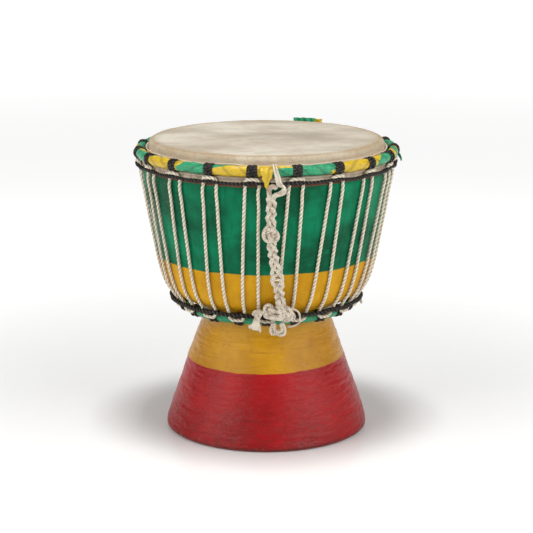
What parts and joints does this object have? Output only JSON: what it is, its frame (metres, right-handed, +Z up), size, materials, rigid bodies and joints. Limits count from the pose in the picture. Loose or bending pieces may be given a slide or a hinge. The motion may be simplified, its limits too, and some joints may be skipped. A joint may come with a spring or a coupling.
{
  "type": "djembe",
  "caption": "Small rope-tuned goblet hand drum: carved wooden shell in painted bands, skin head, cloth-wrapped rings, zigzag tension rope and a braided cord at the front",
  "frame": {"origin": "centre of the foot's flat rim, on the drum's axis, at the surface that the drum stands on", "axes": "+Z up along the drum's axis, -Y towards the front where the braided cord is, +X to the right seen from the front"},
  "size_m": [0.2239, 0.2295, 0.2528],
  "materials": {
    "painted_wood": "painted carved wood in green, yellow and red bands",
    "goatskin": "shaved natural goatskin",
    "steel": "plain rod",
    "green_cloth": "wound cotton cloth",
    "yellow_cloth": "wound cotton cloth",
    "black_cord": "twisted cord",
    "white_cord": "twisted off-white cord"
  },
  "bodies": {
    "drum": {"shell": "painted_wood", "drumhead": "goatskin", "flesh_ring": "steel", "crown_ring": "steel", "crown_cloth_green": "green_cloth", "crown_cloth_yellow": "yellow_cloth", "crown_hitches": "black_cord", "crown_running_cord": "black_cord", "tension_rope": "white_cord", "bottom_ring": "steel", "bottom_ring_cloth": "green_cloth", "bottom_hitches": "black_cord", "bottom_running_cord": "black_cord", "rope_end_knot": "white_cord", "cloth_flap_front": "yellow_cloth", "cloth_end_right": "green_cloth", "cloth_end_back": "green_cloth", "top_hitch": "white_cord", "braid_upper": "white_cord", "braid_knot": "white_cord", "braid_lower": "white_cord", "tie_knot": "white_cord", "end_strand": "white_cord"},
    "hanging_loop": {"end_loop": "white_cord"},
    "hanging_tassel": {"end_tassel": "white_cord"}
  },
  "joints": [
    {"name": "loop_swing", "type": "hinge", "parent": "drum", "child": "hanging_loop", "pos_m": [0.0094, -0.0884, 0.1104], "axis": [-1, 0, 0], "range_deg": [-25, 100]},
    {"name": "tassel_swing", "type": "hinge", "parent": "drum", "child": "hanging_tassel", "pos_m": [-0.0046, -0.0884, 0.1186], "axis": [-1, 0, 0], "range_deg": [-20, 100]}
  ]
}
